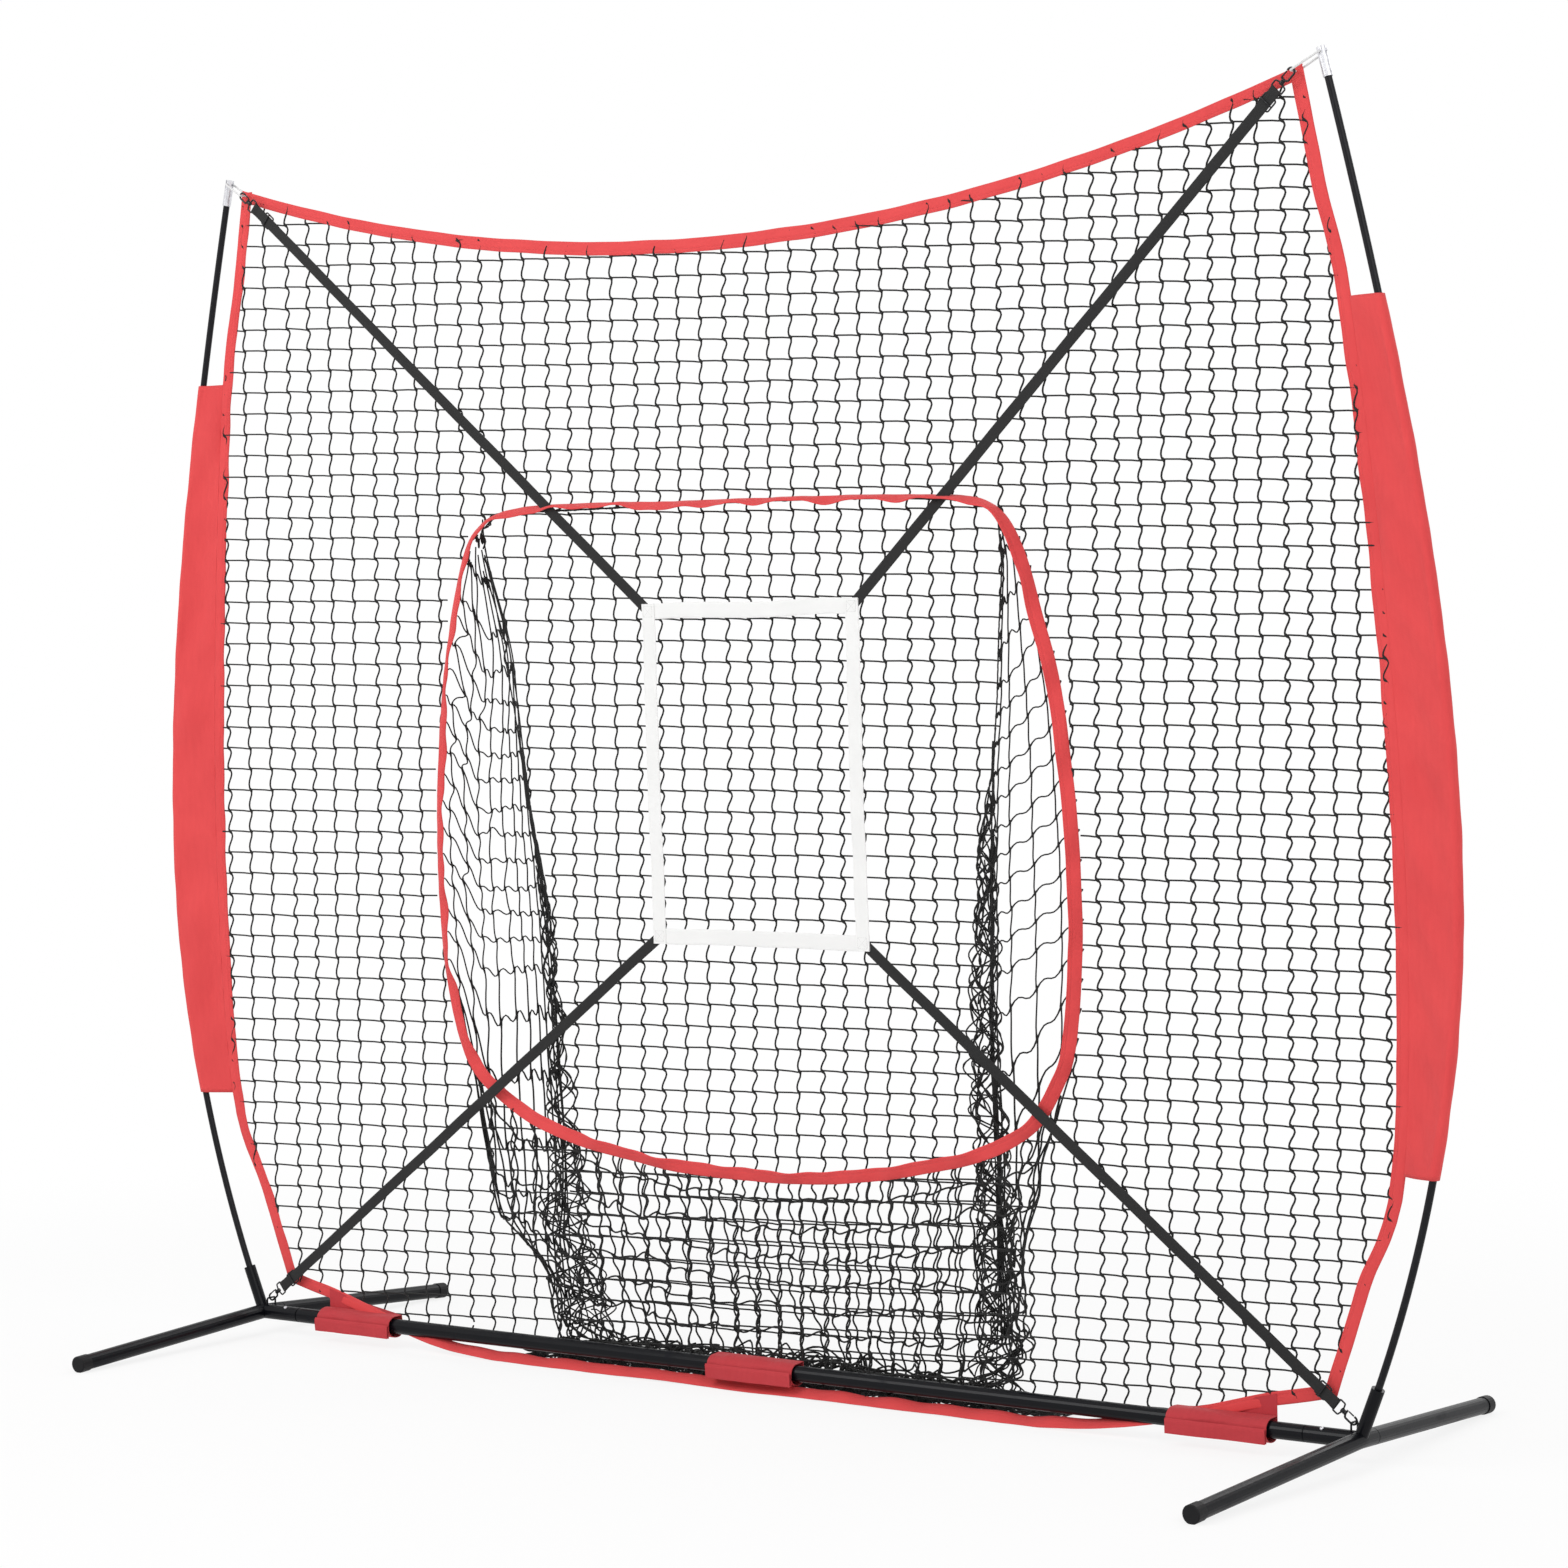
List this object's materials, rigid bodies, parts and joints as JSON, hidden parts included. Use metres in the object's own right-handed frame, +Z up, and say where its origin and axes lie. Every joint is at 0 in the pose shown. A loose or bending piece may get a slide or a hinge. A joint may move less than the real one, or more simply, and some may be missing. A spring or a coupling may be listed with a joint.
{
  "type": "pitching target net",
  "caption": "Bow-framed practice net with a large pocketed mouth and a webbing strike-zone rectangle held in it by straps and snap hooks.",
  "frame": {"origin": "on the floor, midway between the two hubs", "axes": "+X to the right as seen by the pitcher, +Y away from the pitcher, +Z up"},
  "size_m": [2.4812, 0.927, 2.0103],
  "materials": {
    "steel": "gloss black powder coat",
    "zinc": "bright zinc plating",
    "fibreglass": "gloss black fibreglass",
    "plastic": "moulded black",
    "red_cloth": "coated woven polyester",
    "netting": "knotted polyester cord",
    "white_webbing": "woven webbing",
    "black_webbing": "woven webbing",
    "black_wire": "gloss black lacquered wire",
    "elastic": "braided shock cord"
  },
  "bodies": {
    "frame": {"base_bar_left": "steel", "base_bar_right": "steel", "binding_hem": "red_cloth", "binding_left": "red_cloth", "binding_mouth": "red_cloth", "binding_right": "red_cloth", "binding_top": "red_cloth", "button_spring_left": "steel", "button_spring_right": "steel", "elastic_loop_left": "elastic", "elastic_loop_right": "elastic", "end_cap_front_left": "plastic", "end_cap_front_right": "plastic", "end_cap_rear_left": "plastic", "end_cap_rear_right": "plastic", "flap_loop_centre": "red_cloth", "flap_loop_left": "red_cloth", "flap_loop_right": "red_cloth", "foot_weldment_left": "steel", "foot_weldment_right": "steel", "net_bottom": "netting", "net_left": "netting", "net_right": "netting", "net_top": "netting", "pocket": "netting", "pole_ferrule_left": "zinc", "pole_ferrule_right": "zinc", "pole_lower_left": "fibreglass", "pole_lower_right": "fibreglass", "pole_tip_left": "zinc", "pole_tip_right": "zinc", "pole_upper_left": "fibreglass", "pole_upper_right": "fibreglass", "rear_leg_left": "steel", "rear_leg_right": "steel", "sleeve_left": "red_cloth", "sleeve_right": "red_cloth", "strap_bottom_left": "black_webbing", "strap_bottom_right": "black_webbing", "strap_top_left": "black_webbing", "strap_top_right": "black_webbing", "strike_zone": "white_webbing"},
    "button_left": {"snap_button_left": "zinc"},
    "button_right": {"snap_button_right": "zinc"},
    "hook_top_left": {"snap_hook_top_left": "black_wire"},
    "gate_top_left": {"hook_gate_top_left": "black_wire"},
    "glide_top_left": {"glide_top_left": "black_wire"},
    "hook_top_right": {"snap_hook_top_right": "black_wire"},
    "gate_top_right": {"hook_gate_top_right": "black_wire"},
    "glide_top_right": {"glide_top_right": "black_wire"},
    "hook_bottom_left": {"snap_hook_bottom_left": "black_wire"},
    "gate_bottom_left": {"hook_gate_bottom_left": "black_wire"},
    "glide_bottom_left": {"glide_bottom_left": "black_wire"},
    "hook_bottom_right": {"snap_hook_bottom_right": "black_wire"},
    "gate_bottom_right": {"hook_gate_bottom_right": "black_wire"},
    "glide_bottom_right": {"glide_bottom_right": "black_wire"},
    "flap_left": {"flap_left": "red_cloth"},
    "flap_centre": {"flap_centre": "red_cloth"},
    "flap_right": {"flap_right": "red_cloth"}
  },
  "joints": [
    {"name": "button_left_press", "type": "slide", "parent": "frame", "child": "button_left", "axis": [0, 0.5, -0.866], "range_m": [0, 0.0044], "stiffness_N_per_m": 1200, "springref_m": -0.003, "deforming": ["button_spring_left"]},
    {"name": "button_right_press", "type": "slide", "parent": "frame", "child": "button_right", "axis": [0, 0.5, -0.866], "range_m": [0, 0.0044], "stiffness_N_per_m": 1200, "springref_m": -0.003, "deforming": ["button_spring_right"]},
    {"name": "hook_top_left_swivel", "type": "hinge", "parent": "frame", "child": "hook_top_left", "pos_m": [-0.99656, -0.07463, 1.96517], "axis": [-0.7561, -0.0278, 0.6539], "range_deg": [-20, 20]},
    {"name": "gate_top_left_open", "type": "hinge", "parent": "hook_top_left", "child": "gate_top_left", "pos_m": [-0.99661, -0.07495, 1.97274], "axis": [0, -0.9991, -0.0425], "range_deg": [0, 25], "stiffness_Nm_per_rad": 0.02, "springref_deg": -20.05},
    {"name": "glide_top_left_slide", "type": "slide", "parent": "frame", "child": "glide_top_left", "axis": [0.7561, 0.0278, -0.6539], "range_m": [-0.006, 0.2]},
    {"name": "hook_top_right_swivel", "type": "hinge", "parent": "frame", "child": "hook_top_right", "pos_m": [0.9971, -0.07461, 1.96457], "axis": [0.7278, -0.0291, 0.6852], "range_deg": [-20, 20]},
    {"name": "gate_top_right_open", "type": "hinge", "parent": "hook_top_right", "child": "gate_top_right", "pos_m": [0.99683, -0.07493, 1.97214], "axis": [0, 0.9991, 0.0425], "range_deg": [0, 25], "stiffness_Nm_per_rad": 0.02, "springref_deg": -20.05},
    {"name": "glide_top_right_slide", "type": "slide", "parent": "frame", "child": "glide_top_right", "axis": [-0.7278, 0.0291, -0.6852], "range_m": [-0.006, 0.2]},
    {"name": "hook_bottom_left_swivel", "type": "hinge", "parent": "frame", "child": "hook_bottom_left", "pos_m": [-1.03768, 0.00581, 0.07239], "axis": [-0.8022, 0.0254, -0.5966], "range_deg": [-20, 20]},
    {"name": "gate_bottom_left_open", "type": "hinge", "parent": "hook_bottom_left", "child": "gate_bottom_left", "pos_m": [-1.04509, 0.00574, 0.07398], "axis": [0, -0.9991, -0.0425], "range_deg": [0, 25], "stiffness_Nm_per_rad": 0.02, "springref_deg": -20.05},
    {"name": "glide_bottom_left_slide", "type": "slide", "parent": "frame", "child": "glide_bottom_left", "axis": [0.8022, -0.0254, 0.5966], "range_m": [-0.006, 0.2]},
    {"name": "hook_bottom_right_swivel", "type": "hinge", "parent": "frame", "child": "hook_bottom_right", "pos_m": [1.03814, 0.00579, 0.07298], "axis": [0.7782, 0.0267, -0.6274], "range_deg": [-20, 20]},
    {"name": "gate_bottom_right_open", "type": "hinge", "parent": "hook_bottom_right", "child": "gate_bottom_right", "pos_m": [1.04561, 0.00573, 0.07428], "axis": [0, 0.9991, 0.0425], "range_deg": [0, 25], "stiffness_Nm_per_rad": 0.02, "springref_deg": -20.05},
    {"name": "glide_bottom_right_slide", "type": "slide", "parent": "frame", "child": "glide_bottom_right", "axis": [-0.7782, -0.0267, 0.6274], "range_m": [-0.006, 0.2]},
    {"name": "flap_left_open", "type": "hinge", "parent": "frame", "child": "flap_left", "pos_m": [-0.841, 0.01591, 0.0539], "axis": [-1, 0, 0], "range_deg": [0, 75]},
    {"name": "flap_centre_open", "type": "hinge", "parent": "frame", "child": "flap_centre", "pos_m": [0, 0.01591, 0.0539], "axis": [-1, 0, 0], "range_deg": [0, 75]},
    {"name": "flap_right_open", "type": "hinge", "parent": "frame", "child": "flap_right", "pos_m": [0.841, 0.01591, 0.0539], "axis": [-1, 0, 0], "range_deg": [0, 75]}
  ]
}
